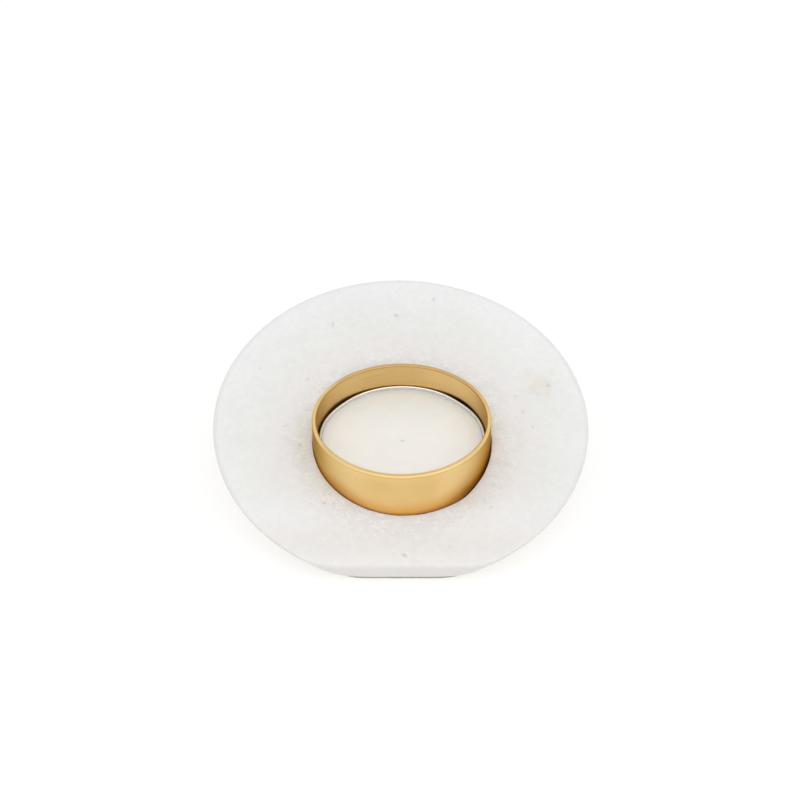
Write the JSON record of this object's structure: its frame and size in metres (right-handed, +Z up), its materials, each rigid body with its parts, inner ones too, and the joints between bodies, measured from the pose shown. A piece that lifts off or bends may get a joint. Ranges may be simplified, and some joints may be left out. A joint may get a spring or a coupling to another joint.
{
  "type": "tealight holder",
  "caption": "Slanted slice of a polished marble ball with a turned brass cup standing upright in its bore, felt underneath and a lift-out tealight; holds a burning candle on a table.",
  "frame": {"origin": "on the vertical axis of the brass cup, at the underside of the felt, where the holder stands on the table", "axes": "+Z up along the cup's axis; the low blunted edge of the slanted marble face is towards -Y and its high edge towards +Y; X is left to right in the picture's view"},
  "size_m": [0.089, 0.0827, 0.0238],
  "materials": {
    "marble": "honed and polished white marble with fine crystal grain, faint warm clouds and a few small grey pits",
    "brass": "satin turned brass, unlacquered, soft circumferential grain, browned where it meets the stone",
    "felt": "thin pale grey needle felt, self-adhesive",
    "tealight_aluminium": "thin drawn aluminium with a rolled lip",
    "wax": "cream white cast wax, softly translucent, satin surface",
    "wick_cotton": "waxed braided cotton",
    "tab_steel": "stamped thin tinned steel"
  },
  "bodies": {
    "holder": {"marble_body": "marble", "brass_cup": "brass", "felt_base": "felt"},
    "tealight": {"tealight_cup": "tealight_aluminium", "tealight_wax": "wax", "tealight_wick": "wick_cotton", "wick_tab": "tab_steel"}
  },
  "joints": [
    {"name": "tealight_lift", "type": "slide", "parent": "holder", "child": "tealight", "axis": [0, 0, 1], "range_m": [0, 0.03]}
  ]
}
